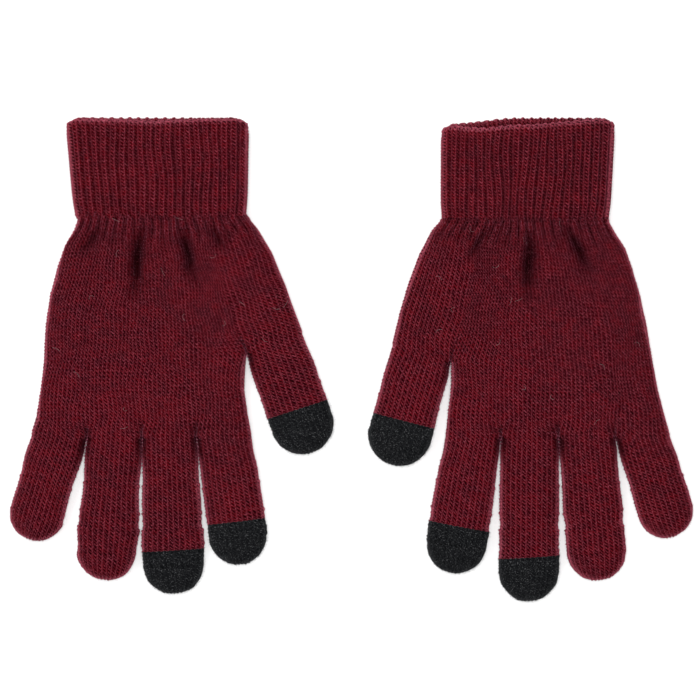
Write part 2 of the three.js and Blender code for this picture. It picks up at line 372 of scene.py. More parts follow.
def resample(row, heights, stops, shares):
    """Plan distances of a row's columns, spread by length over the surface between stops. row and heights are dense
    samples, stops the plan distances between strips, and shares the places of each strip's columns from 0 to 1."""
    length = arc(row, SLOPE_SHARE * heights)
    marks = np.interp(stops, row, length)
    places = [marks[k] + (marks[k + 1] - marks[k]) * share for k, share in enumerate(shares)]
    return np.interp(np.concatenate(places), length, row)


# ---- Palm ----


def row_levels(start, stop):
    """y of every grid row from one level down to another."""
    return np.linspace(start, stop, round((start - stop) / COURSE) * ROWS_PER_COURSE + 1)


class PalmShape:
    """Where the palm's strips of wales lie, and how high its two faces are."""

    def __init__(self, glove):
        self.glove = glove
        above, below = row_levels(glove.link_y, glove.crotch[1]), row_levels(glove.crotch[1], glove.knuckle_y)
        self.levels = np.concatenate([above, below[1:]])
        self.split = len(above) - 1  # the last row that crosses the thumb
        slices = np.clip(self.levels, glove.knuckle_y + 0.8, glove.link_y - 0.8)
        self.left, right = glove.palm_outline(slices)
        below = glove.link_y - self.levels
        waist = bell(below, 3)
        inward, thumb_inward = WAIST_PINCH[glove.name]
        self.left = self.smooth(self.left) + 1.2 * bell(below - 5, 5) + inward * waist
        right = right - thumb_inward * waist
        step = glove.crotch[0] - right[self.split + 1]
        self.palm_edge = right + step * np.exp((self.levels - glove.crotch[1]) / 5)
        self.knuckles = [glove.digit_root(name)[0][0] for name in FINGERS[1:]]
        self.knuckles = [k - 0.3 for k in self.knuckles] + [glove.digit_root("index_finger")[1][0] + 0.3]
        self.thumb_edge = self.thumb_side(right)
        seed = 11 if glove.side > 0 else 23
        self.noise = smooth_noise(seed, 26)
        self.sway = smooth_noise(seed + 1, 11)
        self.sag = smooth_noise(seed + 2, 13)

    @staticmethod
    def smooth(values, times=6):
        values = values.copy()
        for _ in range(times):
            values[1:-1] = (values[:-2] + 2 * values[1:-1] + values[2:]) / 4
        return values

    def thumb_side(self, right):
        """Points of the thumb's outer edge, one for each row above the crotch, equally far apart."""
        glove = self.glove
        inside = self.levels > glove.thumb_outer[1] + 0.5
        x = np.append(self.smooth(right[inside]), glove.thumb_outer[0])
        y = np.append(self.levels[inside], glove.thumb_outer[1])
        length = arc(x, y)
        at = np.linspace(0, length[-1], self.split + 1)
        return np.stack([np.interp(at, length, x), np.interp(at, length, y)], -1)

    def stops(self, j):
        """x of the strip boundaries in row j."""
        glove = self.glove
        share = (glove.link_y - self.levels[j]) / (glove.link_y - glove.knuckle_y)
        spread = 1 - (1 - share) ** 2.4
        wrist = np.linspace(*glove.wrist_x, 6)
        inner = [wrist[k + 1] + (self.knuckles[k] - wrist[k + 1]) * spread for k in range(3)]
        if j <= self.split:
            part = (glove.link_y - self.levels[j]) / (glove.link_y - glove.crotch[1])
            hand = wrist[4] + (glove.crotch[0] - wrist[4]) * (0.55 * part + 0.45 * part**3)
        else:
            hand = self.palm_edge[j]
        return [self.left[j], *inner, hand]

    def row(self, j, face):
        """Dense samples of row j: plan distance, x, y and z, and the plan distances of its strip boundaries."""
        stops = self.stops(j)
        y = self.levels[j]
        ends = np.array([(stops[0], y), (stops[-1], y), *self.thumb_edge[j : j + 1]])
        lengths = arc(*ends.T)
        marks = [s - stops[0] for s in stops[:-1]] + list(lengths[1:])
        width = marks[-1]
        even = np.linspace(0, 1, 500)
        even = width * (even - 0.9 * np.sin(2 * math.pi * even) / (2 * math.pi))
        near = np.add.outer(marks[1:-1], PUCKER_RADIUS * np.linspace(-1.2, 1.2, 81)).ravel()
        place = np.unique(np.clip(np.concatenate([even, near]), 0, width))
        x = np.interp(place, lengths, ends[:, 0])
        yy = np.interp(place, lengths, ends[:, 1])
        z, fold = self.height(j, place, marks, x, yy, face)
        # Painted rim light: lighter yarn near the palm's outline.
        halo = 1 - smoothstep(0.2, RIM_LIGHT_WIDTH, np.minimum(place, width - place))
        return place, (x, yy, z, fold, halo), marks

    def height(self, j, place, marks, x, y, face):
        """Heights along row j of one face, and how much shade is painted at each place, in its folds and creases."""
        glove = self.glove
        width = marks[-1]
        level = self.levels[j]
        below = glove.link_y - level
        top = face > 0
        rise = (PALM_TOP if top else EDGE_Z) - (EDGE_Z if top else TABLE_Z)
        reach = TOP_REACH if top else UNDER_REACH
        near_wrist = 1 - smoothstep(2, 22, below)
        reach_left = reach_right = reach * (1 - 0.4 * near_wrist)
        if j > self.split:
            reach_right = PUCKER_RADIUS + (reach - PUCKER_RADIUS) * smoothstep(0, 24, glove.crotch[1] - level)
        shape = rise * dome(place / reach_left) * dome((width - place) / reach_right)
        # Painted shade: how dark each place is painted, in puckers, gathers, dents, the link line and the ribs'
        # furrows.
        fold = np.zeros(len(place))
        puckers = [(mark, glove.knuckle_y, 4.5 if top else 3) for mark in marks[1:4]]
        if j <= self.split:
            puckers.append((marks[4], glove.crotch[1], 5.5 if top else 3.5))
        for mark, at, fade in puckers:
            pinch = bell(level - at, fade) * (1 - dome(np.abs(place - mark) / PUCKER_RADIUS))
            shape *= 1 - pinch
            fold = np.maximum(fold, 0.7 * pinch)
        for mark in marks[1:4]:
            shape *= 1 - KNUCKLE_VALLEY * bell(level - glove.knuckle_y, 15) * bell(place - mark, 5)
        if not top:
            return EDGE_Z - shape, fold
        shape += LUMPS * self.noise(x, y) * (shape / rise) * smoothstep(0, 12, below)
        shape += PADDING * (shape / rise) * smoothstep(8, 26, below) * (1 - smoothstep(30, 66, below))
        self.gather(place, width, below, shape, fold)
        for mark in marks[1:4]:
            beside = bell(place - mark - 3.5 * self.sway(x, y), 4)
            dent = bell(level - glove.knuckle_y - 2.6, 1.2) * beside
            shape -= DENT * dent
            fold = np.maximum(fold, 0.45 * dent)
        link = bell(below, 0.8)
        fold = np.maximum(fold, 0.4 * link * np.clip(0.6 + self.sway(x, y), 0, 1))
        rib_fade = 1 - smoothstep(5, 15, below)
        ribs = rib_wave(place / width * CUFF_RIBS + RIB_OFFSET)
        fold = np.maximum(fold, 0.55 * rib_fade * np.clip(-ribs, 0, 1))
        return EDGE_Z + shape + (RIB_RUN * ribs * rib_fade - LINK_DEPTH * link) * (shape / rise), fold

    def gather(self, place, width, below, shape, fold):
        """Presses the gathers that cross a row into its heights, and paints shade into their creases."""
        for share, nearest, farthest, depth, half_width, drift in GATHERS[self.glove.name]:
            way = (below - nearest) / (farthest - nearest)
            if way > -0.1:
                fade = math.sin(math.pi * min(1, max(0, 0.12 + 0.88 * way)) ** 0.75)
                aside = place - (share * width + drift * way)
                crease = 1.1 * np.exp(-np.abs(aside / half_width) ** 1.7)
                shape -= fade * depth * (crease - 0.3 * bell(aside, 3.2 * half_width))
                np.maximum(fold, fade * min(1, depth / 4) * bell(aside, 1.7 * half_width), out=fold)

    def face(self, face, strips):
        """The grid of one face: top for face 1, underside for -1."""
        step = dict(FACE_STEPS)[face]
        u, kind = wale_columns(FINGER_WALES * strips, self.glove.side)
        shares = [part / FINGER_WALES - k for k, part in enumerate(u[:-1].reshape(strips, -1))]
        shares[-1] = np.append(shares[-1], 1.0)
        rows = range(self.split + 1) if strips == 5 else range(self.split, len(self.levels))
        grid = []
        for j in rows:
            place, columns, marks = self.row(j, face)
            at = resample(place, columns[2], marks[: strips + 1], shares)
            grid.append(np.stack([np.interp(at, place, column) for column in columns], -1))
        grid = np.array(grid)
        self.waver(grid)
        if strips == 5:
            grid = np.concatenate([self.tucked(grid[0]), grid])
        return grid[:, ::step], u[::step], kind[::step]

    def tucked(self, row):
        """The last rows of the palm, which go inside the cuff where the two are linked."""
        middle = np.array([np.mean(self.glove.wrist_x), 0, TUCK_Z, 0, 0])
        rows = []
        for k in range(TUCK_ROWS, 0, -1):
            shrunk = middle + (row - middle) * (1 - 0.012 * k, 1, 1 - 0.1 * k, 1, 1)
            rows.append(shrunk + (0, 0.55 * k, 0, 0, 0))
        return np.array(rows)

    def waver(self, grid):
        """Lets the wales and courses wander a little, away from the palm's edges."""
        inside = np.minimum(1, np.maximum(0, grid[..., 2] - EDGE_Z) / 3)
        inside *= smoothstep(1, 9, grid[..., 1] - self.glove.knuckle_y)
        x, y = grid[..., 0].copy(), grid[..., 1].copy()
        grid[..., 0] += 0.55 * self.sway(x, y) * inside
        grid[..., 1] += 0.45 * self.sag(x, y) * inside


def rib_wave(ribs):
    """Height across the ribs, from -1 in the furrows to 1: each rib is wider than its furrow."""
    return np.tanh(1.6 * (np.cos(2 * math.pi * (ribs - 0.5)) + 0.25)) / 0.95


def make_palm(glove, material, fibres):
    """Builds the palm piece. Returns, for each digit, the rows that it starts from on both faces: the finished row,
    and the same row before its stitches were raised."""
    shape = PalmShape(glove)
    knit = Knit()
    split = shape.split + TUCK_ROWS
    courses = (np.arange(len(shape.levels) + TUCK_ROWS) - TUCK_ROWS) / ROWS_PER_COURSE
    ids, plain = {}, {}
    for face, step in FACE_STEPS:
        upper, upper_u, upper_kind = shape.face(face, 5)
        lower, lower_u, lower_kind = shape.face(face, 4)
        columns = lower.shape[1]
        plain_hand = np.concatenate([upper[:, :columns], lower[1:]])
        hand = stitch_relief(plain_hand, lower_kind, courses, face, seed=5, step=step)
        whole = stitch_relief(upper, upper_kind, courses[: split + 1], face, seed=5, step=step)
        whole[:, :columns] = hand[: split + 1]
        whole_ids = knit.add(whole)
        if face < 0:
            share_edge(whole_ids, ids[1][0], [4])
        hand_ids = np.concatenate([whole_ids[-1:, :columns], knit.add(hand[split + 1 :])])
        if face < 0:
            share_edge(hand_ids, ids[1][1], [1, 2, 3])
        knit.skin(whole_ids, upper_u, courses[: split + 1], flip=face < 0)
        knit.skin(hand_ids, lower_u, courses[split:], flip=face < 0)
        ids[face] = (whole_ids, hand_ids)
        plain[face] = (upper[-1], plain_hand[-1])
    points = np.concatenate(knit.points)
    roots = {}
    for k, name in enumerate(DIGITS):
        part = 0 if name == "thumb" else 1
        roots[name] = {}
        for face, step in FACE_STEPS:
            span = slice(k * COLUMNS_PER_STRIP // step, (k + 1) * COLUMNS_PER_STRIP // step + 1)
            rows = points[ids[face][part][-1][span]], plain[face][part][span]
            roots[name][face] = [spread(row[:, :3], step) for row in rows]
    piece = knit.build(f"{glove.name}_palm_knit", glove, material)
    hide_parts(f"{glove.name}_palm")
    for part in (piece, make_fuzz(piece, fibres, count=6500, seed=3, reach=0.9), make_lint(piece, glove)):
        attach(part, f"{glove.name}_palm")
    return roots


def share_edge(back, front, crotches):
    """Lets the underside use the top's points along the outline, and where strips part in its last row."""
    back[:, 0] = front[:, 0]
    back[:, -1] = front[:, -1]
    for k in crotches:
        back[-1, k * COLUMNS_PER_STRIP // BOTTOM_STEP] = front[-1, k * COLUMNS_PER_STRIP]


def spread(row, step):
    """The same row with step times as many points."""
    at = np.arange(step * (len(row) - 1) + 1) / step
    return np.column_stack([np.interp(at, np.arange(len(row)), column) for column in row.T])


# ---- Digits ----


class DigitShape:
    """A digit's centre line, read from its CAD nodes."""

    def __init__(self, glove, name):
        self.glove = glove
        self.name = name
        nodes = [f"{glove.name}_{name}"]
        if name in TIPPED:
            nodes.append(f"{glove.name}_{name}_touch_tip")
        points = np.concatenate([glove.corners(node) for node in nodes])[:, :2]
        left, right = glove.digit_root(name)
        self.root = (left + right) / 2
        self.root_half = np.linalg.norm(right - left) / 2
        away = points - self.root
        end = points[np.argmax(np.linalg.norm(away, axis=1))]
        whole = np.linalg.norm(end - self.root)
        self.direction = (end - self.root) / whole
        self.across = np.array((-self.direction[1], self.direction[0]))
        sideways = np.abs(away @ self.across)
        self.radius = sideways[away @ self.direction > whole * 0.6].max()
        self.length = whole - self.radius
        self.cut = None
        if name in TIPPED:
            tip = glove.corners(nodes[1])[:, :2]
            cap_start = ((tip - self.root) @ self.direction).min()
            self.cut = round(cap_start / COURSE - 0.3) * ROWS_PER_COURSE


SCALLOP = 0.09  # how unevenly wide the courses of a digit are
CROTCH_SWELL = 1.05  # how far the sides of neighbouring digits swell towards each other just past the crotch
ROOT_REACH = 16.0  # how far a digit keeps something of the shape of its root
ROOT_SHADE = 0.95  # how dark the shade painted into the fold between two digits is, where they touch
CAP_SINK = 0.15  # how much lower the top of a digit is at its round end
CAP_STRETCH = 1.22  # length over the top of a digit's round end, for each unit of its radius
SECTION_POWER = {1: 2.15, -1: 3.2}  # squareness of a digit's section over and under its edges
HALF_SAMPLES = np.linspace(0, 1, 90)


def half_section(half_width, rise, power):
    """Arc share, x and z of a quarter section from its crown to its edge."""
    angle = HALF_SAMPLES * math.pi / 2
    x = half_width * np.sin(angle) ** (2 / power)
    z = rise * np.cos(angle) ** (2 / power)
    length = arc(x, z)
    return length / length[-1], x, z


def digit_grid(shape, face, root_row, wobble):
    """The grid of one face of a digit, from the palm's last row to the closed end, with its painted shade and painted
    rim light.
    """
    u, kind = wale_columns(FINGER_WALES, shape.glove.side)
    a = 2 * u / FINGER_WALES - 1
    beside = np.where(a < 0, *NEIGHBOURS[shape.name])
    top = face > 0
    power = SECTION_POWER[face]
    tube_courses = round(shape.length / COURSE)
    tube_rows = tube_courses * ROWS_PER_COURSE
    rise = (DIGIT_TOP if top else EDGE_Z) - (EDGE_Z if top else TABLE_Z)
    cap_arc, cap_x, cap_z = half_section(1, (rise - CAP_SINK * top) / shape.radius, power)
    cap_courses = round(CAP_STRETCH * shape.radius / COURSE)
    scallop = np.random.default_rng(29).normal(size=tube_courses + 1) * SCALLOP
    rows = []
    for row in range(tube_rows + 1):
        s = shape.length * row / tube_rows
        share = s / shape.length
        widen = 1 - (1 - share) ** 2
        half_width = shape.root_half + (shape.radius - shape.root_half) * widen
        settled = 1 - smoothstep(shape.length - 8, shape.length, s)
        half_width += (0.3 * wobble(s, 3.0) + scallop[row // ROWS_PER_COURSE]) * settled
        part, x, z = half_section(half_width, rise + 0.35 * wobble(s, 9.0) * top, power)
        touching = CROTCH_SWELL * bell(s - 5, 5) * smoothstep(0.2, 1, np.abs(a)) * beside
        reach = (np.interp(np.abs(a), part, x) + touching) * np.sign(a)
        lift = np.interp(np.abs(a), part, z)
        tube = plan_points(shape, s, reach, EDGE_Z + face * lift)
        if s < ROOT_REACH:
            carried = root_row + np.append(shape.direction * s, 0)
            tube = carried + (tube - carried) * smoothstep(0, ROOT_REACH, s)
        rows.append(tube)
    for row in range(1, cap_courses * ROWS_PER_COURSE + 1):
        b = row / (cap_courses * ROWS_PER_COURSE)
        across = a * math.sqrt(1 - b * b / 2)
        onward = b * np.sqrt(1 - a * a / 2)
        radius = np.hypot(across, onward)
        reach = np.interp(radius, cap_arc, cap_x)
        lift = np.interp(radius, cap_arc, cap_z) * shape.radius
        outline = np.arctan2(onward, across) * shape.radius
        ragged = 1 + (0.016 * wobble(outline, 5.0) + 0.008 * wobble(4 * outline, 1.0)) * smoothstep(0, 0.25, b)
        scale = reach / np.maximum(radius, 1e-9) * shape.radius * ragged
        side = scale * across
        ahead = shape.length + scale * onward
        rows.append(plan_points(shape, ahead, side, EDGE_Z + face * lift))
    grid = np.array(rows)
    courses = np.arange(len(grid)) / ROWS_PER_COURSE
    if shape.cut:
        near = bell(courses - shape.cut / ROWS_PER_COURSE, 3)[:, None, None]
        shift = TIP_TILT[shape.glove.name][shape.name] * a[None, :, None]
        grid = grid + near * shift * np.append(shape.direction, 0)
    # Painted rim light near the digit's fold line.
    halo = 1 - smoothstep(0.2, 0.62, np.abs(grid[..., 2] - EDGE_Z) / rise)
    ahead = (grid[..., :2] - shape.root) @ shape.direction
    # Painted shade in the fold between touching digits, near their roots.
    fold = ROOT_SHADE * bell(ahead, 8.5) * smoothstep(0.55, 0.88, np.abs(a)) * beside
    return np.concatenate([grid, fold[..., None], halo[..., None]], -1), u, kind, courses


def plan_points(shape, ahead, side, z):
    ahead = np.broadcast_to(ahead, np.shape(side))
    flat = shape.root + ahead[:, None] * shape.direction + side[:, None] * shape.across
    return np.column_stack([flat, np.broadcast_to(z, np.shape(side))])


def make_digit(glove, name, root, burgundy, black, fibres, black_fibres):
    shape = DigitShape(glove, name)
    wave = smooth_noise(40 + 7 * DIGITS.index(name) + (3 if glove.side < 0 else 0), 16)
    grids = {}
    for face in (1, -1):
        row, plain_row = root[face]
        grid, u, kind, courses = digit_grid(shape, face, plain_row, wave)
        hang = np.ones(len(courses))
        if shape.cut:
            hang -= 0.8 * bell(courses - shape.cut / ROWS_PER_COURSE, 0.7)
        grids[face] = stitch_relief(grid, kind, courses, face, seed=17, hang=hang)
        grids[face][0, :, :3] = row
    top, bottom = grids[1], grids[-1]
    cut = shape.cut or len(courses) - 1
    body = f"{glove.name}_{name}"
    knitted = [part[: cut + 1] for part in (top, bottom, courses)]
    main = digit_piece(glove, body + "_knit", *knitted, u, burgundy, closed=not shape.cut)
    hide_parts(body)
    start = shape.root + shape.direction * BEND_START
    stop = start + shape.direction * BEND_LENGTH
    for part in (main, make_fuzz(main, fibres, count=1500, seed=cut, reach=0.9)):
        ends = [glove.world((*end, EDGE_Z)) for end in (start, stop)]
        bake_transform(part)
    if shape.cut:
        knitted = [part[cut:] for part in (top, bottom, courses)]
        tip = digit_piece(glove, body + "_touch_tip_knit", *knitted, u, black, closed=True)
        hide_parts(body + "_touch_tip")
        for part in (tip, make_fuzz(tip, black_fibres, count=2400, seed=cut, reach=1.0)):
            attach(part, body)


def digit_piece(glove, name, top, bottom, courses, u, material, closed):
    knit = Knit()
    ids, back = knit.add(top), knit.add(bottom)
    back[:, 0] = ids[:, 0]
    back[:, -1] = ids[:, -1]
    if closed:
        back[-1] = ids[-1]
    knit.skin(ids, u, courses)
    knit.skin(back, u, courses, flip=True)
    return knit.build(name, glove, material)


# ---- Cuff ----

CUFF_LAYERS = 2.8  # thickness of the folded cuff
CUFF_FLOOR = 1.2  # height of the middle of the underside, whose ribs stand on the table
RIB_COURSE = 1.4
CUFF_OUTER_ROWS = 29 * ROWS_PER_COURSE
CUFF_FOLD_ROWS = 6
CUFF_INNER_ROWS = 24
CUFF_STITCH = 0.8  # height and hang of its stitches, next to those of plain knitting
CUFF_CORNER = 3.4  # squareness of its section
FULLNESS = (0.75, 1.2)  # how much the height of its ribs varies


def make_cuff(glove, material, fibres):
    """The folded rib, as one surface from the wrist up the outside, over the rim and down the inside."""
    radius = CUFF_LAYERS / 2
    straight = glove.rim_y - glove.link_y - radius
    profile = [(0, d) for d in np.linspace(0, straight, CUFF_OUTER_ROWS)]
    for t in np.linspace(0, math.pi, CUFF_FOLD_ROWS + 2)[1:-1]:
        profile.append((radius - radius * math.cos(t), straight + radius * math.sin(t)))
    profile += [(CUFF_LAYERS, d) for d in np.linspace(straight, 0, CUFF_INNER_ROWS)]
    wales = 2 * CUFF_RIBS * WALES_PER_RIB
    u, kind = (column[:-1] for column in wale_columns(wales, glove.side))
    peeks = RIM_PEEK[glove.name]
    grid = np.array([cuff_ring(glove, d, inset, d / straight, peeks, u / wales) for inset, d in profile])
    middle = np.mean(glove.wrist_x)
    inside = 1 - smoothstep(0.6, 0.95, np.abs(grid[..., 0] - middle) / np.ptp(glove.wrist_x) * 2)
    lean = smooth_noise(31 if glove.side > 0 else 37, 17)
    grid[..., 0] += 0.75 * lean(grid[..., 0], grid[..., 1]) * inside
    steps = np.linalg.norm(np.diff(grid[:, len(u) // 4], axis=0), axis=1)
    courses = np.concatenate([[0], np.cumsum(steps)]) / RIB_COURSE
    along = np.gradient(grid, axis=0)
    across = (np.roll(grid, -1, axis=1) - np.roll(grid, 1, axis=1)) / 2
    fullness = np.random.default_rng(91).uniform(*FULLNESS, 2 * CUFF_RIBS)
    fullness = np.repeat(fullness, WALES_PER_RIB * COLUMNS_PER_WALE)
    distance = np.array(profile)[:, 1:]
    height = rib_depth(distance / straight) * rib_wave(u / WALES_PER_RIB + RIB_OFFSET) * fullness
    height += COLUMN_HEIGHT[kind] * CUFF_STITCH
    height += COLUMN_SWELL[kind] * np.cos(2 * math.pi * courses)[:, None] * 0.9
    height[:2] -= [[0.5], [0.3]]
    moved = grid + unit(np.cross(across, along)) * height[..., None]
    moved -= unit(along) * (COLUMN_DROP[kind][None, :, None] * RIB_COURSE * CUFF_STITCH)
    x = grid[..., 0]
    aside = np.abs(x - (x.max(1, keepdims=True) + x.min(1, keepdims=True)) / 2) - np.ptp(x, axis=1)[:, None] / 2
    # Painted rim light along the rim's fold and the cuff's sides.
    halo = 0.7 * smoothstep(straight - 0.3, straight + 1.2, distance)
    halo = np.maximum(halo, 0.6 * smoothstep(-RIM_LIGHT_WIDTH, -0.2, aside))
    knit = Knit()
    ids = knit.add(np.concatenate([moved, np.zeros_like(moved[..., :1]), halo[..., None]], -1))
    knit.skin(np.concatenate([ids, ids[:, :1]], axis=1), np.append(u, wales), courses, flip=True)
    piece = knit.build(f"{glove.name}_cuff_knit", glove, material)
    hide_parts(f"{glove.name}_cuff")
    for part in (piece, make_fuzz(piece, fibres, count=5200, seed=9, reach=0.8)):
        blend_cuff(part)


def blend_cuff(piece):
    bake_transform(piece)


def rib_depth(share):
    """How deep the ribs are at a share of the cuff's length: shallower where it joins the palm and at the fold."""
    return 0.78 * (0.75 + 0.25 * smoothstep(0, 0.35, share)) * (1 - 0.6 * smoothstep(0.9, 1.02, share))


def cuff_ring(glove, distance, inset, share, peeks, turns):
    """A ring of the cuff at a distance from the wrist. share says how much of the rim's peeks and dips it follows.
    turns runs once round, from the little finger's side over the top to the thumb's."""
    tall = glove.rim_y - glove.link_y
    left = glove.wrist_x[0] + (glove.rim_x[0] - glove.wrist_x[0]) * distance / tall
    right = glove.wrist_x[1] + (glove.rim_x[1] - glove.wrist_x[1]) * distance / tall
    waist = bell(distance, 5)
    crown = glove.cuff_top - 0.9 - 2.0 * waist
    half = (right - left) / 2 - inset - 0.5 - 0.3 * waist
    rise = (crown - CUFF_FLOOR) / 2 - inset
    angle = np.linspace(0, 2 * math.pi, 721)
    power = 2 / CUFF_CORNER
    x = -np.sign(np.cos(angle)) * np.abs(np.cos(angle)) ** power * half
    z = np.sign(np.sin(angle)) * np.abs(np.sin(angle)) ** power * rise
    length = arc(x, z)
    at = turns * length[-1]
    px = np.interp(at, length, x)
    pz = np.interp(at, length, z)
    across = (px / half + 1) / 2
    front = (pz / rise + 1) / 2
    peek = np.interp(across, np.linspace(0, 1, len(peeks)), peeks) * front
    corner = 1.7 * np.clip((np.abs(2 * across - 1) - 0.87) / 0.13, 0, 1) ** 2
    dip = RIM_DIP[glove.name] * smoothstep(0.55, 0.95, across)
    y = glove.link_y + share * (tall - CUFF_LAYERS / 2 - peek - corner - dip)
    return np.column_stack([(left + right) / 2 + px, y, (crown + CUFF_FLOOR) / 2 + pz])


ELASTIC_RADIUS = 0.17
ELASTIC_INSET = 1.35
ELASTIC_TURNS = 4


def make_elastic(glove, material):
    """The elastic yarn laid into the fold of the cuff, in one long winding from the wrist to the rim."""
    tall = glove.rim_y - glove.link_y
    path = []
    for turn in np.arange(0, ELASTIC_TURNS, 1 / 90):
        share = 0.12 + 0.72 * turn / ELASTIC_TURNS
        path.append(cuff_ring(glove, tall * share, ELASTIC_INSET, share, (0, 0), np.array([turn % 1]))[0])
    piece = tube(f"{glove.name}_cuff_elastic_yarn", glove, np.array(path), ELASTIC_RADIUS, material)
    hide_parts(f"{glove.name}_cuff_elastic")
    blend_cuff(piece)


def tube_faces(stations, sides):
    """Faces of a tube, closed by its two ends, whose points go round one station after another."""
    sides_of = [(k, (k + 1) % sides) for k in range(sides)]
    starts = range(0, (stations - 1) * sides, sides)
    faces = [(s + a, s + b, s + b + sides, s + a + sides) for s in starts for a, b in sides_of]
    last = (stations - 1) * sides
    return faces, [tuple(reversed(range(sides))), tuple(range(last, last + sides))]


def tube(name, glove, path, radius, material, sides=6):
    """A closed round thread along a path."""
    ahead = unit(np.gradient(path, axis=0))
    side = unit(np.cross(ahead, (0.02, 1, 0.03)))
    up = np.cross(side, ahead)
    angle = np.arange(sides) * 2 * math.pi / sides
    ring = side[:, None] * np.cos(angle)[:, None] + up[:, None] * np.sin(angle)[:, None]
    points = glove.world((path[:, None] + radius * ring).reshape(-1, 3))
    quads, caps = tube_faces(len(path), sides)
    faces = quads + caps
    mesh = bpy.data.meshes.new(name)
    mesh.from_pydata(points.tolist(), [], faces)
    mesh.polygons.foreach_set("use_smooth", np.ones(len(faces), bool))
    mesh.materials.append(material)
    return put(name, mesh)


# ---- Fuzz: loose fibres that stand off the yarn ----

FIBRE_STATIONS = ((0, 0.028), (0.5, 0.0224), (1, 0.0098))  # share of a fibre's length, and its radius there
SIDE_LIKING = 7.0  # how much denser the fibres are along the fold lines
LINT_COUNT = 16
LINT_RADIUS = 0.035


def make_fuzz(piece, material, count, seed, reach):
    """Short curved fibres, each a closed three-sided sliver, rooted on a knitted piece."""
    rng = np.random.default_rng(seed)
    mesh = piece.data
    centres, normals = np.empty((2, len(mesh.polygons), 3))
    mesh.polygons.foreach_get("center", centres.ravel())
    mesh.polygons.foreach_get("normal", normals.ravel())
    liking = 1 + SIDE_LIKING * bell(centres[:, 2] / MM - EDGE_Z - 0.6, 1.2)
    faces = rng.choice(len(liking), count, p=liking / liking.sum())
    root = centres[faces] / MM
    out = normals[faces]
    root -= out * 0.1
    lean = unit(rng.normal(size=(count, 3)))
    lean -= out * (lean * out).sum(1, keepdims=True)
    curl = unit(rng.normal(size=(count, 3)))
    length = reach * rng.uniform(0.4, 1.3, (count, 1)) ** 1.5
    side = unit(np.cross(out, lean) + 1e-6)
    points = []
    for t, radius in FIBRE_STATIONS:
        stand = out * (0.62 * t * (1.2 - 0.4 * t))
        station = root + length * (stand + lean * 0.9 * t + curl * 0.35 * t * t)
        for angle in np.arange(3) * 2 * math.pi / 3:
            points.append(station + radius * (side * math.cos(angle) + lean * math.sin(angle)))
    first = len(points) * np.arange(count)[:, None, None]
    points = np.stack(points, 1)
    points[..., 2] = np.maximum(points[..., 2], LOWEST)
    faces = []
    for kind in tube_faces(len(FIBRE_STATIONS), 3):
        faces += (np.array(kind) + first).reshape(-1, len(kind[0])).tolist()
    fuzz = bpy.data.meshes.new(piece.name + "_fuzz")
    fuzz.from_pydata((points.reshape(-1, 3) * MM).tolist(), [], faces)
    fuzz.materials.append(material)
    return put(fuzz.name, fuzz)


def make_lint(piece, glove):
    """A few long pale fibres caught on the palm."""
    rng = np.random.default_rng(71 if glove.side > 0 else 72)
    points = glove.local([v.co[:] for v in piece.data.vertices])
    upper = points[points[:, 2] > EDGE_Z + 3]
    starts = upper[rng.integers(0, len(upper), LINT_COUNT)]
    hairs = []
    for start in starts:
        heading, bend = rng.uniform(0, 2 * math.pi), rng.normal() * 0.35
        at = start[:2].copy()
        path = []
        for _ in range(9):
            near = upper[np.argmin(((upper[:, :2] - at) ** 2).sum(1))]
            path.append((*at, near[2] + 0.22))
            at = at + np.array((math.cos(heading), math.sin(heading))) * 0.45
            heading += bend
        hairs.append(tube(f"{glove.name}_lint", glove, np.array(path), LINT_RADIUS, lint_material(), sides=4))
    with bpy.context.temp_override(active_object=hairs[0], selected_editable_objects=hairs):
        bpy.ops.object.join()
    hairs[0].name = f"{glove.name}_palm_lint"
    return hairs[0]


# ---- Materials ----


class Nodes:
    """A short way to write a material's node tree."""

    def __init__(self, name):
        self.material = bpy.data.materials.new(name)
        self.material.use_nodes = True
        self.tree = self.material.node_tree
        self.shader = self.tree.nodes["Principled BSDF"]

    def surface(self, **values):
        """Sets the shader's sockets, named with _ for each space."""
        for name, value in values.items():
            self.feed(self.shader.inputs[name.replace("_", " ")], value)

    def new(self, kind, inputs=(), **settings):
        node = self.tree.nodes.new(kind)
        for key, value in settings.items():
            setattr(node, key, value)
        for socket, value in dict(inputs).items():
            self.feed(node.inputs[socket], value)
        return node

    def feed(self, socket, value):
        if isinstance(value, bpy.types.NodeSocket):
            self.tree.links.new(value, socket)
        else:
            socket.default_value = value

    def math(self, operation, *values):
        return self.new("ShaderNodeMath", enumerate(values), operation=operation).outputs[0]

    def times(self, a, b):
        return self.math("MULTIPLY", a, b)

    def linear(self, value, factor, offset):
        return self.math("ADD", self.times(value, factor), offset)

    def apart(self, a, b):
        return self.math("ABSOLUTE", self.math("SUBTRACT", a, b))

    def attribute(self, name):
        return self.new("ShaderNodeAttribute", attribute_name=name).outputs["Fac"]

    def local(self):
        return self.new("ShaderNodeTexCoord").outputs["Object"]

    def ramp(self, value, low, high):
        node = self.new("ShaderNodeMapRange", {"Value": value, "From Min": low, "From Max": high})
        node.interpolation_type = "SMOOTHSTEP"
        return node.outputs["Result"]

    def falling(self, value, low, high):
        return self.math("SUBTRACT", 1.0, self.ramp(value, low, high))

    def mix(self, share, a, b):
        node = self.new("ShaderNodeMix", data_type="RGBA")
        for index, value in ((0, share), (6, a), (7, b)):
            self.feed(node.inputs[index], value)
        return node.outputs[2]

    def noise(self, vector, scale, detail=2.0):
        node = self.new("ShaderNodeTexNoise", {"Vector": vector, "Scale": scale, "Detail": detail})
        return node.outputs["Fac"]


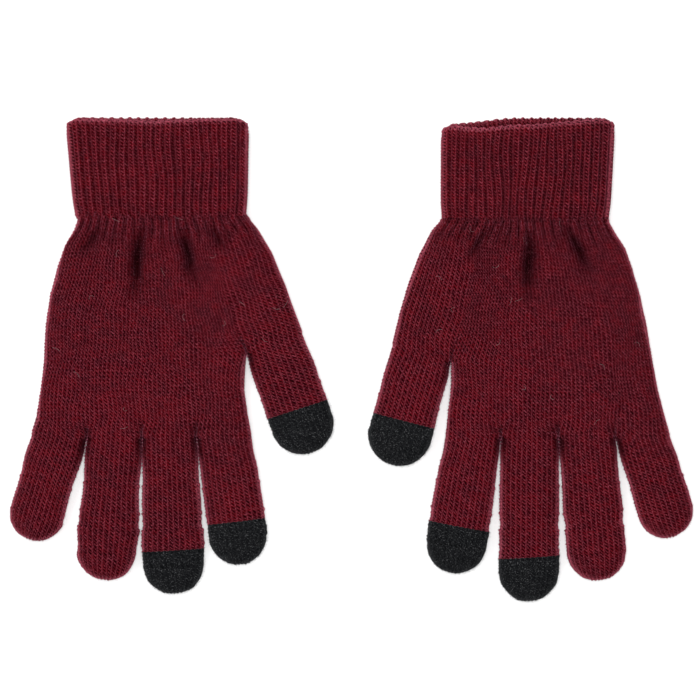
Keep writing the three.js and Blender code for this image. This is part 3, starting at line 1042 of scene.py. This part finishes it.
def knit_material(name, yarn, mirrored, ribbed=False):
    """Knitting seen stitch by stitch: painted shade in the slots between strands, painted highlights on the strands'
    crests and right legs, and marled yarn. yarn holds its colours, and how strong its painted shade and its sheen
    are."""
    n = Nodes(name)
    place = n.new("ShaderNodeUVMap", uv_map="stitches").outputs["UV"]
    split = n.new("ShaderNodeSeparateXYZ", {"Vector": place})
    u, v = split.outputs["X"], split.outputs["Y"]
    body = n.local()
    across = n.math("FRACT", u)
    if mirrored:
        across = n.math("SUBTRACT", 1.0, across)
    gap = n.apart(n.math("FRACT", v), 0.5)
    slot = n.falling(gap, 0.09, 0.3)
    crest = n.ramp(gap, 0.3, 0.5)
    left_leg = n.times(n.ramp(across, 0.03, 0.16), n.falling(across, 0.52, 0.72))
    right_leg = n.falling(n.apart(across, 0.82), 0.02, 0.16)
    seam = n.falling(n.apart(n.math("FRACT", n.math("ADD", across, 0.5)), 0.5), 0.0, 0.1)
    # Painted shade in the slots between strands, the seams between wales and, on ribbing, the furrows between ribs.
    slot_mask = n.times(slot, n.linear(left_leg, 0.85, 0.15))
    shade = n.math("MAXIMUM", slot_mask, n.times(seam, SEAM_SHADE))
    if ribbed:
        wander = n.times(n.noise(body, WANDER_SCALE, 1.0), 0.3)
        ribs = n.math("ADD", n.math("DIVIDE", u, float(WALES_PER_RIB)), wander)
        furrow = n.falling(n.apart(n.math("FRACT", n.math("ADD", ribs, 0.6)), 0.5), 0.05, 0.26)
        shade = n.math("MAXIMUM", shade, n.times(furrow, FURROW_SHADE))
    # Painted shade in the folds and creases that the mesh marks.
    shade = n.math("MAXIMUM", shade, n.times(n.attribute("fold"), FOLD_SHADE))

    floored = n.new("ShaderNodeVectorMath", {0: place}, operation="FLOOR").outputs[0]
    stitch = n.new("ShaderNodeTexWhiteNoise", {"Vector": floored}, noise_dimensions="2D").outputs["Value"]
    cloud, patch, fibre = (n.noise(body, scale) for scale in (CLOUD_SCALE, PATCH_SCALE, FIBRE_SCALE))
    marl = n.ramp(n.math("ADD", n.times(patch, 0.75), n.times(cloud, 0.35)), 0.4, 0.72)
    tone = n.mix(marl, yarn["deep"], yarn["warm"])
    tone = n.mix(n.times(n.ramp(stitch, 0.25, 1.0), 0.55), tone, yarn["plain"])
    # Painted highlights on the strands' crests and right legs, flecked by the fibre noise.
    glint = n.times(n.ramp(fibre, 0.42, 0.72), n.linear(crest, 0.75, 0.3))
    glint = n.math("ADD", glint, n.times(right_leg, 0.22))
    colour = n.mix(glint, tone, yarn["lit"])
    colour = n.mix(n.times(shade, yarn["slot"]), colour, yarn["dark"])
    # Painted rim light near the fold lines, pinker and lighter, and kept out of the painted shade.
    halo = n.times(n.attribute("halo"), n.math("SUBTRACT", 1.0, shade))
    halo = n.times(halo, n.linear(n.ramp(fibre, 0.3, 0.7), 0.65, 0.2))
    colour = n.mix(halo, colour, yarn["halo"])
    if "speck" in yarn:
        colour = n.mix(n.ramp(n.noise(body, SPECK_SCALE, 0.0), 0.66, 0.8), colour, yarn["speck"])

    height = n.math("SUBTRACT", n.times(fibre, 0.7), n.times(shade, 0.8))
    bump = n.new("ShaderNodeBump", {"Strength": 0.6, "Distance": 0.0002, "Height": height})
    n.surface(
        Base_Color=colour,
        Normal=bump.outputs["Normal"],
        Roughness=n.linear(fibre, 0.2, 0.78),
        Specular_IOR_Level=0.01,
        Sheen_Weight=yarn["sheen"],
        Sheen_Roughness=0.28,
        Sheen_Tint=yarn["fuzz"],
    )
    return n.material


# How dark the seam between wales, the furrow between ribs and a fold are, next to a slot between strands.
SEAM_SHADE = 0.4
FURROW_SHADE = 0.34
FOLD_SHADE = 0.95
# Fineness of the noise in the yarn, in cells a metre.
CLOUD_SCALE = 48.0
PATCH_SCALE = 260.0
WANDER_SCALE = 330.0
FIBRE_SCALE = 1700.0
SPECK_SCALE = 2400.0

# In each yarn, dark is painted shade, lit a painted highlight and the colour for the edges painted rim light; deep,
# plain, warm and speck are the yarn's own tones.
BURGUNDY = {
    "dark": (0.006, 0.0001, 0.0004, 1),
    "deep": (0.039, 0.0014, 0.0038, 1),
    "plain": (0.062, 0.0020, 0.0052, 1),
    "warm": (0.094, 0.0022, 0.0052, 1),
    "lit": (0.225, 0.040, 0.060, 1),
    "halo": (0.460, 0.100, 0.145, 1),
    "slot": 1.0,
    "sheen": 0.4,
    "fuzz": (1.0, 0.24, 0.38, 1),
}
# The same yarn painted lighter for the cuff's ribs: painted light that the ribs catch.
RIB_BURGUNDY_PAINTED_LIGHT = BURGUNDY | {
    "deep": (0.044, 0.0016, 0.0042, 1),
    "plain": (0.071, 0.0024, 0.0060, 1),
    "warm": (0.108, 0.0028, 0.0062, 1),
    "lit": (0.250, 0.044, 0.066, 1),
}
BLACK = {
    "dark": (0.002, 0.002, 0.0024, 1),
    "deep": (0.0042, 0.0046, 0.0052, 1),
    "plain": (0.0056, 0.0061, 0.0068, 1),
    "warm": (0.0072, 0.0076, 0.0084, 1),
    "lit": (0.017, 0.0176, 0.019, 1),
    "halo": (0.030, 0.031, 0.033, 1),
    "slot": 0.6,
    "sheen": 0.1,
    "fuzz": (0.7, 0.72, 0.75, 1),
    "speck": (0.085, 0.085, 0.088, 1),
}


# ---- Stage ----


def make_floor():
    bpy.ops.mesh.primitive_plane_add(size=30)
    floor = bpy.context.object
    floor.name = "floor"
    n = Nodes("floor_white")
    n.surface(Base_Color=(0.95, 0.95, 0.95, 1), Roughness=0.9)
    floor.data.materials.append(n.material)


def area_light(name, place, size, power):
    data = bpy.data.lights.new(name, "AREA")
    data.size = size
    data.energy = power
    light = put(name, data)
    light.location = place
    light.rotation_euler = (-Vector(place)).to_track_quat("-Z", "Y").to_euler()


def make_light():
    world = bpy.data.worlds.new("studio")
    world.use_nodes = True
    background = world.node_tree.nodes["Background"]
    background.inputs["Color"].default_value = (1, 1, 1, 1)
    background.inputs["Strength"].default_value = 0.7
    bpy.context.scene.world = world
    area_light("overhead", place=(0, 0.05, 1.75), size=0.5, power=19)
    area_light("key", place=(-0.9, 0.9, 1.3), size=0.6, power=8)
    bpy.context.scene.view_settings.view_transform = "Standard"


def fibre_material(name, dark, light, sheen):
    n = Nodes(name)
    colour = n.mix(n.noise(n.local(), 900.0), dark, light)
    n.surface(Base_Color=colour, Roughness=0.8, Specular_IOR_Level=0.1, Sheen_Weight=sheen)
    return n.material


def lint_material():
    found = bpy.data.materials.get("pale_lint")
    return found or fibre_material("pale_lint", (0.2, 0.1, 0.11, 1), (0.42, 0.3, 0.3, 1), 0.2)


def elastic_material():
    """Covered elastic: a pale core wound with fine thread."""
    n = Nodes("elastic_covered")
    winding = n.new("ShaderNodeTexWave", {"Vector": n.local(), "Scale": 900.0, "Distortion": 2.0}).outputs["Fac"]
    bump = n.new("ShaderNodeBump", {"Strength": 0.5, "Distance": 0.0001, "Height": winding})
    colour = n.mix(winding, (0.55, 0.53, 0.5, 1), (0.82, 0.81, 0.78, 1))
    n.surface(Base_Color=colour, Normal=bump.outputs["Normal"], Roughness=0.7)
    return n.material


def make_gloves():
    elastic = elastic_material()
    fibres = fibre_material("burgundy_fibres", (0.16, 0.012, 0.028, 1), (0.42, 0.07, 0.12, 1), 0.3)
    black_fibres = fibre_material("conductive_fibres", (0.01, 0.01, 0.012, 1), (0.09, 0.09, 0.1, 1), 0.2)
    for name, side in (("left", 1), ("right", -1)):
        glove = Glove(name, side)
        burgundy = knit_material(f"{name}_burgundy_yarn", BURGUNDY, side < 0)
        rib = knit_material(f"{name}_burgundy_rib_yarn", RIB_BURGUNDY_PAINTED_LIGHT, side < 0, ribbed=True)
        black = knit_material(f"{name}_conductive_yarn", BLACK, side < 0)
        roots = make_palm(glove, burgundy, fibres)
        for digit in DIGITS:
            make_digit(glove, digit, roots[digit], burgundy, black, fibres, black_fibres)
        make_cuff(glove, rib, fibres)
        make_elastic(glove, elastic)


make_gloves()
make_floor()
make_light()
